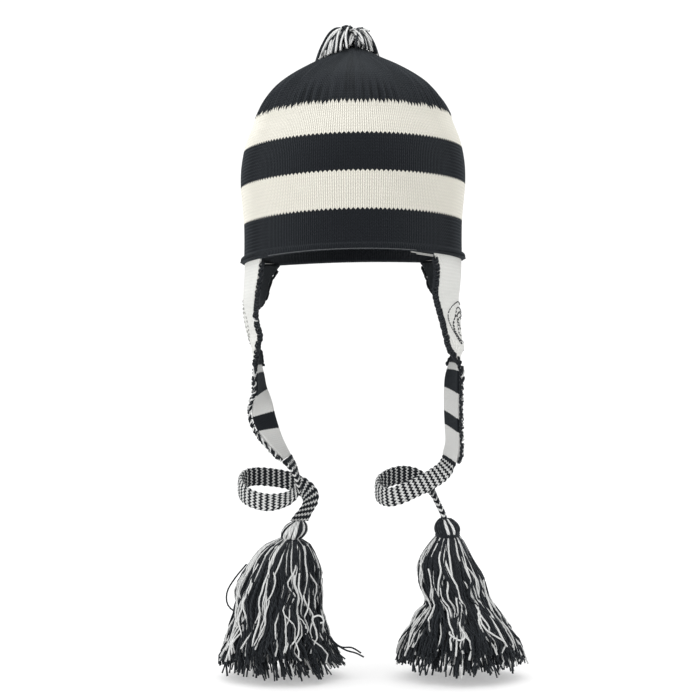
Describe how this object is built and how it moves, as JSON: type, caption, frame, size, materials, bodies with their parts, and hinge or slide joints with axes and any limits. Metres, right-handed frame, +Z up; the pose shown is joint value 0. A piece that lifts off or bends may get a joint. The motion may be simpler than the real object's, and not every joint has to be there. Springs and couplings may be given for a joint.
{
  "type": "knitted earflap hat",
  "caption": "Black and cream striped knitted hat with a yarn pompom, lined earflaps with whipped edging, striped straps, and marled ties ending in tassels.",
  "frame": {"origin": "middle of the head opening, at the height of the rim's sides", "axes": "+Z up, the front of the hat faces -Y, +X is the right flap as seen from the front"},
  "size_m": [0.2307, 0.2072, 0.4916],
  "materials": {
    "black_and_cream_knit": "matte",
    "cream_knit": "matte",
    "black_knit": "matte",
    "whipped_yarn": "matte",
    "marled_band": "matte",
    "tassel_yarn": "matte"
  },
  "bodies": {
    "root": {"crown": "black_and_cream_knit", "pompom": "tassel_yarn", "flap_left": "cream_knit", "lining_left": "black_knit", "strap_left": "black_and_cream_knit", "edging_front_left": "whipped_yarn", "edging_rear_left": "whipped_yarn", "tie_left": "marled_band", "tassel_left": "tassel_yarn", "flap_right": "cream_knit", "lining_right": "black_knit", "strap_right": "black_and_cream_knit", "edging_front_right": "whipped_yarn", "edging_rear_right": "whipped_yarn", "tie_right": "marled_band", "tassel_right": "tassel_yarn"}
  },
  "joints": []
}
